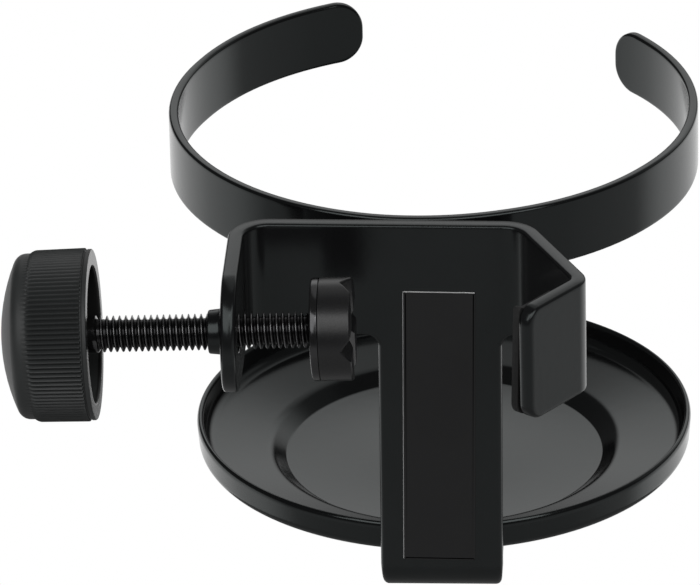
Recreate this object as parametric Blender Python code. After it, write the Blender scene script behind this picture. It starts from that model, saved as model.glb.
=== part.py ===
"""Clamp-on drink holder: a bent steel bracket with a V-jaw and thumbscrew that grip a stand pole,
a welded cup ring and a welded drip tray."""

import math

import bmesh
import bpy

MM = 0.001

# Bracket: plate, ear, V-jaw, tongue and foot bent from one steel blank
SHEET_T = 2.5 * MM
BEND_R = 4.0 * MM
PLATE_H = 19.5 * MM
PLATE_Z = 48.0 * MM
TONGUE_W = 20.0 * MM
NOTCH_R = 2.4 * MM
FOOT_W = 19.2 * MM
FOOT_L = 52.0 * MM
FOOT_BEND_R = 3.0 * MM
EAR_X = 33.5 * MM
JAW_X = 13.65 * MM
JAW_LEG_1 = 21.7 * MM
JAW_LEG_2 = 14.6 * MM
JAW_ANGLE_1 = math.radians(26.5)
JAW_ANGLE_2 = math.radians(37.3)
APEX_R = 1.5 * MM
TIP_R = 3.0 * MM

# Rubber liner glued inside the jaw's front leg
LINER_T = 1.3 * MM
LINER_START = 3.2 * MM
LINER_INSET = 0.2 * MM
LINER_R = 2.5 * MM
LINER_SHORT = 0.4 * MM

# Nominal pole between jaw and pad: its axis is the model's origin
POLE_D = 25.0 * MM

# Tapped collar drawn out of the ear
COLLAR_D = 7.1 * MM
COLLAR_L = 2.4 * MM
COLLAR_CHAMFER = 0.4 * MM
COLLAR_FLARE = 0.8 * MM

# Thumbscrew: M6 coarse thread, plain shank, hexagon head inside the knob, button tip
SCREW_Y = 20.4 * MM
SCREW_LEAN = math.radians(1.7)
PITCH = 1.0 * MM
CREST_D = 5.74 * MM
ROOT_D = 4.4 * MM
THREAD_PHASE = 0.17 * MM
SHANK_D = 5.9 * MM
SHANK_CHAMFER = 0.5 * MM
THREAD_L = 33.4 * MM
NECK_D = 4.0 * MM
BUTTON_D = 6.0 * MM
BUTTON_T = 1.0 * MM
HEAD_FLATS = 10.0 * MM
HEAD_T = 4.0 * MM
STANDOFF = 11.65 * MM

# Knob: hollow ribbed cup with a domed end
KNOB_D = 26.1 * MM
RIB_H = 0.6 * MM
RIB_ROOT = 0.05 * MM
RIB_COUNT = 108
RIB_L = 9.1 * MM
KNOB_L = 14.5 * MM
KNOB_DRAFT = math.radians(1.0)
KNOB_RIM = 0.7 * MM
KNOB_WALL = 2.1 * MM
DOME_R = 38.0 * MM
DOME_EDGE_R = 2.8 * MM
CAP_T = 5.0 * MM
BOSS_WALL = 1.6 * MM
BOSS_FACE = 1.2 * MM
SHANK_SHOWN = 1.2 * MM

# Swivel pad: thrust washer and grooved saddle
PAD_D = 16.5 * MM
WASHER_T = 1.0 * MM
SADDLE_T = 5.2 * MM
SADDLE_EDGE = 0.4 * MM
SADDLE_LIP = 1.2 * MM
UPRIGHT_GROOVE_W = 5.0 * MM
UPRIGHT_GROOVE_D = 1.6 * MM
CROSS_GROOVE_W = 4.0 * MM
CROSS_GROOVE_D = 1.5 * MM

# Cup ring: flat strip with round ends, open at the back for a mug handle
RING_R = 43.75 * MM
RING_T = 1.6 * MM
RING_H = 11.0 * MM
RING_X = -2.7 * MM
RING_LEFT = math.radians(161.3)
RING_RIGHT = math.radians(136.3)

# Drip tray: drawn dish with a low wall and a recessed disc that sits on the foot
TRAY_R = 41.5 * MM
TRAY_T = 0.9 * MM
TRAY_X = -1.7 * MM
TRAY_H = 8.5 * MM
TRAY_CORNER_R = 1.7 * MM
TRAY_FLOOR_Z = 3.7 * MM
RECESS_R = 26.6 * MM
RECESS_SLOPE_W = 2.6 * MM
RECESS_DEPTH = 1.85 * MM

# Bare label on the tongue
LABEL_W = 11.8 * MM
LABEL_H = 48.8 * MM
LABEL_T = 0.25 * MM
LABEL_X = -0.3 * MM
LABEL_Z = 6.95 * MM

# Clearances
SEAT = 0.3 * MM
RUN = 0.3 * MM
THREAD_CLEAR = 0.2 * MM
GLUE = 0.1 * MM

# Facet counts
TURN_SEGS = 48
TRAY_SEGS = 60
THREAD_SEGS = 14
BEND_SEGS = 8
RING_SEGS = 48
ROUND_SEGS = 10

# Derived places, from the tongue centre, the plate's back face and the foot's underside
PLATE_TOP = PLATE_Z + PLATE_H
SCREW_Z = PLATE_Z + PLATE_H / 2
MID_R = BEND_R + SHEET_T / 2
APEX_MID_R = APEX_R + SHEET_T / 2
EAR_IN_X = -EAR_X + SHEET_T
RING_Y = RING_R + SEAT
TRAY_Y = TRAY_R + SEAT
TRAY_Z = SHEET_T + SEAT

# Places along the screw, from the ear's inner face
WASHER_X = STANDOFF
THREAD_END_X = WASHER_X - RUN
SHANK_X = THREAD_END_X - THREAD_L
KNOB_RIM_X = SHANK_X - SHANK_SHOWN
SADDLE_X = WASHER_X + WASHER_T + RUN
BUTTON_X = SADDLE_X + SADDLE_LIP + RUN


def clear_scene():
    for obj in list(bpy.data.objects):
        bpy.data.objects.remove(obj, do_unlink=True)


def coating(name, hex_colour, roughness, metallic):
    mat = bpy.data.materials.new(name)
    mat.use_nodes = True
    shader = mat.node_tree.nodes["Principled BSDF"]
    srgb = [int(hex_colour[i:i + 2], 16) / 255 for i in (0, 2, 4)]
    linear = [c / 12.92 if c <= 0.04045 else ((c + 0.055) / 1.055) ** 2.4 for c in srgb]
    shader.inputs["Base Color"].default_value = (*linear, 1.0)
    shader.inputs["Roughness"].default_value = roughness
    shader.inputs["Metallic"].default_value = metallic
    return mat


def empty(name, location, parent=None):
    obj = bpy.data.objects.new(name, None)
    obj.empty_display_size = 10 * MM
    obj.location = location
    obj.parent = parent
    bpy.context.scene.collection.objects.link(obj)
    return obj


def add(name, bm, parent, mat=None, sharp=math.radians(35)):
    """Object from a bmesh; without a material it is a hidden cutter or union form."""
    bmesh.ops.recalc_face_normals(bm, faces=bm.faces)
    mesh = bpy.data.meshes.new(name)
    bm.to_mesh(mesh)
    bm.free()
    obj = bpy.data.objects.new(name, mesh)
    obj.parent = parent
    bpy.context.scene.collection.objects.link(obj)
    if mat:
        mesh.materials.append(mat)
        mesh.shade_smooth()
        mesh.set_sharp_from_angle(angle=sharp)
    else:
        obj.hide_render = True
        obj.display_type = 'WIRE'
    return obj


def boolean(obj, other, operation):
    mod = obj.modifiers.new(operation.lower() + "_" + other.name, 'BOOLEAN')
    mod.operation = operation
    mod.solver = 'EXACT'
    mod.object = other


def arc(cx, cy, radius, start_deg, end_deg, segs):
    """Points along an arc, both ends included."""
    steps = [math.radians(start_deg + (end_deg - start_deg) * i / segs) for i in range(segs + 1)]
    return [(cx + radius * math.cos(a), cy + radius * math.sin(a)) for a in steps]


def turned(profile, segs, closed=False):
    """Solid turned about X from (x, r) points; r = 0 makes a pole, closed joins last to first."""
    bm = bmesh.new()
    rings = []
    for x, r in profile:
        if r < 1e-9:
            rings.append([bm.verts.new((x, 0, 0))])
            continue
        angles = [2 * math.pi * i / segs for i in range(segs)]
        rings.append([bm.verts.new((x, r * math.cos(a), r * math.sin(a))) for a in angles])
    pairs = list(zip(rings, rings[1:] + rings[:1] if closed else rings[1:]))
    for low, high in pairs:
        for i in range(segs):
            j = (i + 1) % segs
            quad = [low[i % len(low)], low[j % len(low)], high[j % len(high)], high[i % len(high)]]
            corners = list(dict.fromkeys(quad))
            if len(corners) > 2:
                bm.faces.new(corners)
    return bm


def box(lo, hi):
    bm = bmesh.new()
    bmesh.ops.create_cube(bm, size=1.0)
    for v in bm.verts:
        v.co = [lo[k] + (v.co[k] + 0.5) * (hi[k] - lo[k]) for k in range(3)]
    return bm


def interp(x, xs, rows):
    """Row of values at x on straight lines between stations."""
    k = 0
    while k < len(xs) - 2 and x > xs[k + 1]:
        k += 1
    f = (x - xs[k]) / (xs[k + 1] - xs[k])
    return [a + f * (b - a) for a, b in zip(rows[k], rows[k + 1])]


def bent_path(start, heading, moves):
    """Stations (length, point, left normal) along runs ('run', l) and right turns ('turn', r, a)."""
    s, (x, y), h = 0.0, start, heading
    stations = [(s, (x, y), (-math.sin(h), math.cos(h)))]
    for move in moves:
        if move[0] == 'run':
            x, y, s = x + move[1] * math.cos(h), y + move[1] * math.sin(h), s + move[1]
            stations.append((s, (x, y), (-math.sin(h), math.cos(h))))
            continue
        _, radius, angle = move
        cx, cy, h0, s0 = x + radius * math.sin(h), y - radius * math.cos(h), h, s
        for i in range(1, BEND_SEGS + 1):
            h = h0 - angle * i / BEND_SEGS
            x, y = cx - radius * math.sin(h), cy + radius * math.cos(h)
            s = s0 + radius * angle * i / BEND_SEGS
            stations.append((s, (x, y), (-math.sin(h), math.cos(h))))
    return stations


def folded_sheet(outline, cuts_s, cuts_z, place):
    """Flat outline in (s, z), cut at the bend stations and mapped to both faces of the sheet."""
    flat = bmesh.new()
    flat.faces.new([flat.verts.new((s, z, 0)) for s, z in outline])
    for co, no in [((s, 0, 0), (1, 0, 0)) for s in cuts_s] + [((0, z, 0), (0, 1, 0)) for z in cuts_z]:
        geom = flat.verts[:] + flat.edges[:] + flat.faces[:]
        bmesh.ops.bisect_plane(flat, geom=geom, dist=1e-7, plane_co=co, plane_no=no)
    bm = bmesh.new()
    front = {v: bm.verts.new(place(v.co.x, v.co.y, -1)) for v in flat.verts}
    back = {v: bm.verts.new(place(v.co.x, v.co.y, 1)) for v in flat.verts}
    for face in flat.faces:
        bm.faces.new([front[v] for v in face.verts])
        bm.faces.new([back[v] for v in reversed(face.verts)])
    for edge in flat.edges:
        if edge.is_boundary:
            a, b = edge.verts
            bm.faces.new([front[a], front[b], back[b], back[a]])
    flat.free()
    return bm


def bracket_sheet():
    """Blank of the bracket with its ear, jaw, apex and foot bends."""
    end_r = PLATE_H / 2
    turn_1 = math.pi / 2 - JAW_ANGLE_1
    turn_2 = JAW_ANGLE_1 + JAW_ANGLE_2
    tan_1 = MID_R * math.tan(turn_1 / 2)
    tan_2 = APEX_MID_R * math.tan(turn_2 / 2)
    ear_mid_x = -EAR_X + SHEET_T / 2
    ear_run = SCREW_Y + end_r - SHEET_T / 2 - MID_R
    left_flat = ear_mid_x + MID_R
    path = bent_path((ear_mid_x, -SCREW_Y - end_r), math.pi / 2, [
        ('run', ear_run), ('turn', MID_R, math.pi / 2),
        ('run', JAW_X - tan_1 - left_flat), ('turn', MID_R, turn_1),
        ('run', JAW_LEG_1 - tan_1 - tan_2), ('turn', APEX_MID_R, turn_2),
        ('run', JAW_LEG_2 - tan_2)])
    zero = ear_run + MID_R * math.pi / 2 - left_flat
    xs = [s - zero for s, _, _ in path]
    half_t = SHEET_T / 2
    faces = {k: [(p[0] + k * half_t * n[0], p[1] + k * half_t * n[1]) for _, p, n in path]
             for k in (-1, 1)}
    foot_mid_r = FOOT_BEND_R + half_t
    bend_z = FOOT_BEND_R + SHEET_T
    bend_len = foot_mid_r * math.pi / 2
    zs = [bend_z - bend_len * i / BEND_SEGS for i in range(BEND_SEGS + 1)]
    angles = [math.pi / 2 * i / BEND_SEGS for i in range(BEND_SEGS + 1)]
    radius = {k: foot_mid_r - k * half_t for k in (-1, 1)}
    foot = {k: [(FOOT_BEND_R - radius[k] * math.cos(a), bend_z - radius[k] * math.sin(a)) for a in angles]
            for k in (-1, 1)}

    def place(s, z, k):
        if z >= bend_z:
            return (*interp(s, xs, faces[k]), z)
        if z <= zs[-1]:
            return (s, FOOT_BEND_R + zs[-1] - z, half_t + k * half_t)
        return (s, *interp(bend_z - z, [bend_z - v for v in zs], foot[k]))

    half_w = TONGUE_W / 2
    foot_r = FOOT_W / 2
    foot_end = zs[-1] - FOOT_L + foot_r
    right = xs[-1] - TIP_R
    outline = arc(xs[0] + end_r, SCREW_Z, end_r, 90, 270, 2 * ROUND_SEGS)
    outline += arc(-half_w - NOTCH_R, PLATE_Z - NOTCH_R, NOTCH_R, 90, 0, ROUND_SEGS // 2)
    outline += [(-half_w, bend_z), (-foot_r, zs[-1])]
    outline += arc(0, foot_end, foot_r, 180, 360, 2 * ROUND_SEGS)
    outline += [(foot_r, zs[-1]), (half_w, bend_z)]
    outline += arc(half_w + NOTCH_R, PLATE_Z - NOTCH_R, NOTCH_R, 180, 90, ROUND_SEGS // 2)
    outline += arc(right, PLATE_Z + TIP_R, TIP_R, 270, 360, ROUND_SEGS // 2)
    outline += arc(right, PLATE_TOP - TIP_R, TIP_R, 0, 90, ROUND_SEGS // 2)
    return folded_sheet(outline, xs[1:-1], zs, place)


def collar_form():
    """Drawn collar on the ear's outer face, flared at its root, chamfered at its end."""
    r = COLLAR_D / 2
    face = -SHEET_T
    end = face - COLLAR_L
    root = face + SHEET_T / 2
    profile = [(root, 0), (root, r + COLLAR_FLARE), (face, r + COLLAR_FLARE)]
    profile += [(face - y, r + COLLAR_FLARE - x) for x, y in
                [(COLLAR_FLARE * math.sin(a), COLLAR_FLARE * (1 - math.cos(a)))
                 for a in [math.pi / 2 * i / 4 for i in range(1, 5)]]]
    profile += [(end + COLLAR_CHAMFER, r), (end, r - COLLAR_CHAMFER), (end, 0)]
    return turned(profile, TURN_SEGS // 2)


def thread_form(x_lo, x_hi, grow):
    """Closed right-hand helix: at angle a the ridge profile lies PITCH * a / 2pi further along X."""
    root, crest = ROOT_D / 2 + grow, CREST_D / 2 + grow
    profile = ((0.0, root), (0.25, root), (0.5625, crest), (0.6875, crest))
    first = math.floor((x_lo - THREAD_PHASE) / PITCH) - 1
    last = math.ceil((x_hi - THREAD_PHASE) / PITCH) + 1
    step = len(profile)
    bm = bmesh.new()
    cols = []
    for j in range(THREAD_SEGS):
        a = 2 * math.pi * j / THREAD_SEGS
        start = THREAD_PHASE + PITCH * j / THREAD_SEGS
        pts = [(start + PITCH * (k + f), r) for k in range(first, last) for f, r in profile]
        cols.append([bm.verts.new((x, r * math.cos(a), r * math.sin(a))) for x, r in pts])
    rows = len(cols[0])
    for j in range(THREAD_SEGS):
        shift = step if j == THREAD_SEGS - 1 else 0
        nxt = cols[(j + 1) % THREAD_SEGS]
        for i in range(rows - 1 - shift):
            bm.faces.new((cols[j][i], cols[j][i + 1], nxt[i + 1 + shift], nxt[i + shift]))
    start = [c[0] for c in cols] + [cols[0][i] for i in range(step, 0, -1)]
    stop = [c[-1] for c in cols] + [cols[-1][rows - 1 - i] for i in range(1, step + 1)]
    for loop in (start, stop):
        tip = bm.verts.new((sum(v.co.x for v in loop) / len(loop), 0, 0))
        for i, v in enumerate(loop):
            bm.faces.new((v, loop[(i + 1) % len(loop)], tip))
    return bm


def thread_envelope():
    """Turned space that trims the thread: inside the shank at one end, chamfered at the other."""
    over = CREST_D / 2 + SEAT
    depth = (CREST_D - ROOT_D) / 2
    start = SHANK_X - SHANK_CHAMFER
    return turned([(start, 0), (start, ROOT_D / 2), (start + depth, over), (THREAD_END_X - depth, over),
                   (THREAD_END_X, ROOT_D / 2 - SEAT / 2), (THREAD_END_X, 0)], TURN_SEGS // 2)


def screw_core():
    """Shank, threaded core, neck and button."""
    core = ROOT_D / 2 - SEAT / 2
    shank = SHANK_D / 2
    back = KNOB_RIM_X - head_depth()
    button_end = BUTTON_X + BUTTON_T
    return turned([(back, 0), (back, shank), (SHANK_X - SHANK_CHAMFER, shank),
                   (SHANK_X, shank - SHANK_CHAMFER), (SHANK_X, core), (THREAD_END_X, core),
                   (THREAD_END_X, NECK_D / 2), (BUTTON_X, NECK_D / 2), (BUTTON_X, BUTTON_D / 2),
                   (button_end, BUTTON_D / 2), (button_end, 0)], TURN_SEGS // 2)


def head_depth():
    """From the knob's rim plane to the middle of the screw's head."""
    return KNOB_L - CAP_T - HEAD_T / 2


def head_form(grow):
    x = KNOB_RIM_X - head_depth()
    r = HEAD_FLATS / 2 / math.cos(math.pi / 6) + grow
    lo, hi = x - HEAD_T / 2 - grow, x + HEAD_T / 2 + grow
    return turned([(lo, 0), (lo, r), (hi, r), (hi, 0)], 6)


def dome_meet():
    """Angle on the dome at which its round edge takes over."""
    return math.asin((KNOB_D / 2 - DOME_EDGE_R) / (DOME_R - DOME_EDGE_R))


def side_x():
    """Where the knob's round edge ends and its drafted side starts."""
    return KNOB_RIM_X - KNOB_L + DOME_R - (DOME_R - DOME_EDGE_R) * math.cos(dome_meet())


def side_r(x):
    """Radius of the knob's drafted side at x."""
    return KNOB_D / 2 + (x - side_x()) * math.tan(KNOB_DRAFT)


def knob_body():
    """Cup without its ribs: dome, round edge and drafted side, solid inside."""
    apex = KNOB_RIM_X - KNOB_L
    inner = KNOB_D / 2 - DOME_EDGE_R
    meet = dome_meet()
    dome = [(apex + DOME_R * (1 - math.cos(a)), DOME_R * math.sin(a))
            for a in [meet * i / 4 for i in range(1, 4)]]
    angles = [meet + (math.pi / 2 - meet) * i / 5 for i in range(6)]
    lip = [(side_x() - DOME_EDGE_R * math.cos(a), inner + DOME_EDGE_R * math.sin(a)) for a in angles]
    return turned([(apex, 0)] + dome + lip + [(KNOB_RIM_X, side_r(KNOB_RIM_X)), (KNOB_RIM_X, 0)], TURN_SEGS)


def knob_ribs():
    """Star prism: pointed ribs that stand RIB_H proud of the cup's side."""
    hi = KNOB_RIM_X - KNOB_RIM
    lo = hi - RIB_L
    bm = bmesh.new()
    ends = []
    for x in (lo, hi):
        star = []
        for i in range(2 * RIB_COUNT):
            a = math.pi * i / RIB_COUNT
            r = side_r(x) + (RIB_H if i % 2 else RIB_ROOT)
            star.append(bm.verts.new((x, r * math.cos(a), r * math.sin(a))))
        ends.append(star)
    bm.faces.new(ends[0])
    bm.faces.new(ends[1][::-1])
    for i in range(2 * RIB_COUNT):
        j = (i + 1) % (2 * RIB_COUNT)
        bm.faces.new((ends[0][i], ends[0][j], ends[1][j], ends[1][i]))
    return bm


def knob_hollow():
    """Space inside the cup, around the boss that holds the screw's head."""
    r = KNOB_D / 2 - KNOB_WALL
    boss_r = HEAD_FLATS / 2 / math.cos(math.pi / 6) + RUN + BOSS_WALL
    mouth = KNOB_RIM_X + KNOB_RIM
    face = KNOB_RIM_X - head_depth() + HEAD_T / 2 + RUN + BOSS_FACE
    deep = KNOB_RIM_X - KNOB_L + CAP_T
    return turned([(mouth, 0), (mouth, r), (deep, r), (deep, boss_r), (face, boss_r), (face, 0)], TURN_SEGS)


def shank_hole():
    r = SHANK_D / 2 + RUN
    lo = KNOB_RIM_X - head_depth()
    hi = KNOB_RIM_X + KNOB_RIM
    return turned([(lo, 0), (lo, r), (hi, r), (hi, 0)], TURN_SEGS // 2)


def washer():
    r, bore = PAD_D / 2, NECK_D / 2 + RUN
    x0, x1 = WASHER_X, WASHER_X + WASHER_T
    return turned([(x0, bore), (x0, r), (x1, r), (x1, bore)], TURN_SEGS, closed=True)


def saddle_body():
    r = PAD_D / 2
    x0, x1 = SADDLE_X, SADDLE_X + SADDLE_T
    return turned([(x0, 0), (x0, r), (x1 - SADDLE_EDGE, r), (x1, r - SADDLE_EDGE), (x1, 0)], TURN_SEGS)


def saddle_socket():
    """Snap-in socket for the button, with a lip behind it."""
    hole = NECK_D / 2 + RUN
    pocket = BUTTON_D / 2 + RUN
    lo = SADDLE_X - WASHER_T
    lip = SADDLE_X + SADDLE_LIP
    deep = BUTTON_X + BUTTON_T + RUN
    profile = [(lo, 0), (lo, hole), (lip, hole), (lip, pocket), (deep, pocket), (deep, 0)]
    return turned(profile, TURN_SEGS // 2)


def groove(width, depth, upright):
    """V-groove prism across the saddle's face, along Z if upright, else along Y."""
    face = SADDLE_X + SADDLE_T
    out = WASHER_T
    wide = width / 2 * (depth + out) / depth
    tri = [(face - depth, 0), (face + out, wide), (face + out, -wide)]
    half = PAD_D
    bm = bmesh.new()
    ends = []
    for end in (-half, half):
        pts = [(x, w, end) if upright else (x, end, w) for x, w in tri]
        ends.append([bm.verts.new(p) for p in pts])
    bm.faces.new(ends[0])
    bm.faces.new(ends[1][::-1])
    for i in range(3):
        j = (i + 1) % 3
        bm.faces.new((ends[0][i], ends[0][j], ends[1][j], ends[1][i]))
    return bm


def ring_strip():
    """Strip rolled to a circle about (RING_X, RING_Y), angles from the front, + to the right."""
    mid = RING_R - RING_T / 2
    s0, s1 = -RING_LEFT * mid, RING_RIGHT * mid
    stations = [s0 + (s1 - s0) * i / RING_SEGS for i in range(RING_SEGS + 1)]
    radius = {-1: RING_R, 1: RING_R - RING_T}
    points = {k: [(RING_X + radius[k] * math.sin(s / mid), RING_Y - radius[k] * math.cos(s / mid))
                  for s in stations] for k in (-1, 1)}
    end_r = RING_H / 2
    z = PLATE_TOP - end_r
    outline = arc(s0 + end_r, z, end_r, 90, 270, 2 * ROUND_SEGS)
    outline += arc(s1 - end_r, z, end_r, -90, 90, 2 * ROUND_SEGS)
    return folded_sheet(outline, stations[1:-1], [], lambda s, h, k: (*interp(s, stations, points[k]), h))


def tray_dish():
    """Dish turned about Z: disc, sloped step, rising floor, round corner and wall."""
    inner = TRAY_CORNER_R - TRAY_T
    corner_r = TRAY_R - TRAY_CORNER_R
    under = [(TRAY_Z, 0), (TRAY_Z, RECESS_R), (TRAY_Z + RECESS_DEPTH, RECESS_R + RECESS_SLOPE_W)]
    corner_z = TRAY_Z + TRAY_FLOOR_Z + TRAY_CORNER_R
    under += [(corner_z - TRAY_CORNER_R * math.cos(a), corner_r + TRAY_CORNER_R * math.sin(a))
              for a in [math.pi / 2 * i / 4 for i in range(5)]]
    rim = TRAY_Z + TRAY_H
    over = [(corner_z - inner * math.cos(a), corner_r + inner * math.sin(a))
            for a in [math.pi / 2 * i / 4 for i in range(4, -1, -1)]]
    slope = math.atan2(RECESS_DEPTH, RECESS_SLOPE_W)
    back = TRAY_T * math.tan(slope / 2)
    over += [(TRAY_Z + RECESS_DEPTH + TRAY_T, RECESS_R + RECESS_SLOPE_W - back)]
    over += [(TRAY_Z + TRAY_T, RECESS_R - back), (TRAY_Z + TRAY_T, 0)]
    profile = under + [(rim, TRAY_R), (rim, TRAY_R - TRAY_T)] + over
    bm = turned(profile, TRAY_SEGS)
    for v in bm.verts:
        v.co = (TRAY_X + v.co.y, TRAY_Y + v.co.z, v.co.x)
    return bm


def jaw_apex():
    """Apex of the jaw's mid-line and the headings of its two legs."""
    h1 = -math.pi / 2 + JAW_ANGLE_1
    h2 = -math.pi / 2 - JAW_ANGLE_2
    return JAW_X + JAW_LEG_1 * math.cos(h1), -SHEET_T / 2 + JAW_LEG_1 * math.sin(h1), h1, h2


def liner_slab():
    """Flat slab on the inner face of the jaw's front leg, round at its free end."""
    x, y, _, h = jaw_apex()
    lo, hi = PLATE_Z + LINER_INSET, PLATE_TOP - LINER_INSET
    end = JAW_LEG_2 - LINER_SHORT - LINER_R
    outline = [(LINER_START, hi), (LINER_START, lo)]
    outline += arc(end, lo + LINER_R, LINER_R, 270, 360, ROUND_SEGS // 2)
    outline += arc(end, hi - LINER_R, LINER_R, 0, 90, ROUND_SEGS // 2)

    def place(run, z, k):
        off = SHEET_T / 2 + GLUE + LINER_T * (1 + k) / 2
        return (x + run * math.cos(h) + off * math.sin(h), y + run * math.sin(h) - off * math.cos(h), z)

    return folded_sheet(outline, [], [], place)


def pole_axis():
    """Centre of a pole that touches the jaw's rear leg and the liner on its front leg."""
    x, y, h1, h2 = jaw_apex()
    n1 = (math.sin(h1), -math.cos(h1))
    n2 = (math.sin(h2), -math.cos(h2))
    reach_1 = (POLE_D + SHEET_T) / 2
    reach_2 = reach_1 + GLUE + LINER_T
    det = n1[0] * n2[1] - n1[1] * n2[0]
    return x + (reach_1 * n2[1] - reach_2 * n1[1]) / det, y + (reach_2 * n1[0] - reach_1 * n2[0]) / det


def main():
    clear_scene()
    powder = coating("black_powder_coat", "1f1f20", 0.45, 0.0)
    gloss = coating("black_gloss_coat", "1c1c1d", 0.3, 0.0)
    oxide = coating("black_oxide_steel", "2a2a2b", 0.35, 0.9)
    moulded = coating("black_moulded_plastic", "2c2e2e", 0.55, 0.0)
    pad_black = coating("black_pad_plastic", "242425", 0.4, 0.0)
    vinyl = coating("black_vinyl", "1b1b1c", 0.6, 0.0)
    rubber = coating("black_rubber", "222222", 0.7, 0.0)

    pole_x, pole_y = pole_axis()
    root = empty("holder_datum", (-pole_x, -pole_y, -SCREW_Z))
    axis = empty("screw_axis", (EAR_IN_X, -SCREW_Y, SCREW_Z), root)
    axis.rotation_euler = (0, -SCREW_LEAN, 0)

    bracket = add("clamp_bracket", bracket_sheet(), root, powder)
    collar = add("collar_form", collar_form(), axis)
    tapping = add("tapping_form", thread_form(-SHEET_T - COLLAR_L, 0.0, THREAD_CLEAR), axis)
    boolean(bracket, collar, 'UNION')
    boolean(bracket, tapping, 'DIFFERENCE')

    add("cup_ring", ring_strip(), root, gloss)
    add("drip_tray", tray_dish(), root, gloss)
    front = -SHEET_T - GLUE
    add("front_label", box((LABEL_X - LABEL_W / 2, front - LABEL_T, LABEL_Z),
                           (LABEL_X + LABEL_W / 2, front, LABEL_Z + LABEL_H)), root, vinyl)

    add("jaw_liner", liner_slab(), root, rubber)

    screw = add("clamp_screw", screw_core(), axis, oxide)
    helix = add("helix_form", thread_form(SHANK_X - SHANK_CHAMFER, THREAD_END_X, 0.0), axis)
    trim = add("helix_trim", thread_envelope(), axis)
    head = add("head_form", head_form(0.0), axis)
    boolean(helix, trim, 'INTERSECT')
    boolean(screw, helix, 'UNION')
    boolean(screw, head, 'UNION')

    knob = add("knob", knob_body(), axis, moulded)
    boolean(knob, add("rib_form", knob_ribs(), axis), 'UNION')
    boolean(knob, add("knob_hollow", knob_hollow(), axis), 'DIFFERENCE')
    boolean(knob, add("head_pocket", head_form(RUN), axis), 'DIFFERENCE')
    boolean(knob, add("shank_hole", shank_hole(), axis), 'DIFFERENCE')

    add("thrust_washer", washer(), axis, oxide)
    saddle = add("pad_saddle", saddle_body(), axis, pad_black)
    upright = groove(UPRIGHT_GROOVE_W, UPRIGHT_GROOVE_D, True)
    cross = groove(CROSS_GROOVE_W, CROSS_GROOVE_D, False)
    boolean(saddle, add("socket_form", saddle_socket(), axis), 'DIFFERENCE')
    boolean(saddle, add("upright_groove", upright, axis), 'DIFFERENCE')
    boolean(saddle, add("cross_groove", cross, axis), 'DIFFERENCE')


main()
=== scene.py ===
"""Looks of a clamp-on drink holder: black coated steel, a moulded thumbscrew knob and a swivel pad."""

import math

import bmesh
import bpy
import numpy as np
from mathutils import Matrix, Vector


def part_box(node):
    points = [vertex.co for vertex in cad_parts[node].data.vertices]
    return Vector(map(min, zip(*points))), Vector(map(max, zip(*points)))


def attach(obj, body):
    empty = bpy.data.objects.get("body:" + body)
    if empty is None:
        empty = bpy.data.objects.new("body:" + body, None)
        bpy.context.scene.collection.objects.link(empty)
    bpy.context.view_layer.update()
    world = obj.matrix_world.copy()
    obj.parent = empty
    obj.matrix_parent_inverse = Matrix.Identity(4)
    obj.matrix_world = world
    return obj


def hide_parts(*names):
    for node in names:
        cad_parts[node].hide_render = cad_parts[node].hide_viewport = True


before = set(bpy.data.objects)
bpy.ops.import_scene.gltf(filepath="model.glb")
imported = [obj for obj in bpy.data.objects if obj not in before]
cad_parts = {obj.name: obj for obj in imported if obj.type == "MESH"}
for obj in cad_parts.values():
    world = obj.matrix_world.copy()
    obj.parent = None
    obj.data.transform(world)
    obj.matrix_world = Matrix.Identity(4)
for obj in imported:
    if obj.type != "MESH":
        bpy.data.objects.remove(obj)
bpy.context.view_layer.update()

MM = 0.001

# Pole's axis in plate millimetres (tongue centre, plate's back, foot's underside), found from the label
LABEL_CORNER = np.array((-6.2, -2.85, 6.95))
POLE = LABEL_CORNER - np.array(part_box("front_label")[0]) / MM
SCREW_POINT = np.array((-31.0, -20.4, 57.75))
SCREW_LEAN = math.radians(1.7)

# Bent bracket
SHEET_T = 2.5
SHEET_EDGE = 0.5
SIDE_EDGE = 1.0
BEND_R = 4.0
MID_R = BEND_R + SHEET_T / 2
APEX_R = 1.5
APEX_MID_R = APEX_R + SHEET_T / 2
PLATE_Z = 48.0
PLATE_TOP = 67.5
SCREW_Z = 57.75
END_R = 9.75
TONGUE_W = 20.0
NOTCH_R = 2.4
FOOT_W = 19.2
FOOT_L = 52.0
EAR_MID_X = -32.25
EAR_END_Y = -30.15
JAW_X = 13.65
JAW_LEG_1 = 21.7
JAW_LEG_2 = 14.6
JAW_ANGLE_1 = math.radians(26.5)
JAW_ANGLE_2 = math.radians(37.3)
JAW_TURN_1 = math.pi / 2 - JAW_ANGLE_1
JAW_TURN_2 = JAW_ANGLE_1 + JAW_ANGLE_2
JAW_TAN_1 = MID_R * math.tan(JAW_TURN_1 / 2)
JAW_TAN_2 = APEX_MID_R * math.tan(JAW_TURN_2 / 2)
EAR_RUN = -EAR_END_Y - SHEET_T / 2 - MID_R
EAR_BEND_X = EAR_MID_X + MID_R
EAR_BEND_RUN = MID_R * math.pi / 2
TIP_R = 3.0
FOOT_BEND_R = 3.0
FOOT_MID_R = FOOT_BEND_R + SHEET_T / 2
BEND_Z = FOOT_BEND_R + SHEET_T
TONGUE_LEAN = 0.0073
PLATE_LIFT = 0.12
PLATE_TILT = 0.006
PLATE_PIVOT_X = 10.0
FOOT_LIFT = 0.25
BORE_R = 3.05

# Collar drawn out of the ear
COLLAR_ROOT_X = -2.2
COLLAR_ROOT_R = 3.6
COLLAR_FACE_X = -2.5
COLLAR_FLANGE_R = 4.7
COLLAR_BASE_R = 3.72
COLLAR_FLARE_R = 0.8
COLLAR_END_X = -4.9
COLLAR_END_R = 3.48
COLLAR_EDGE = 0.3
COLLAR_MOUTH = 0.15
COLLAR_SEGS = 72

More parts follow.
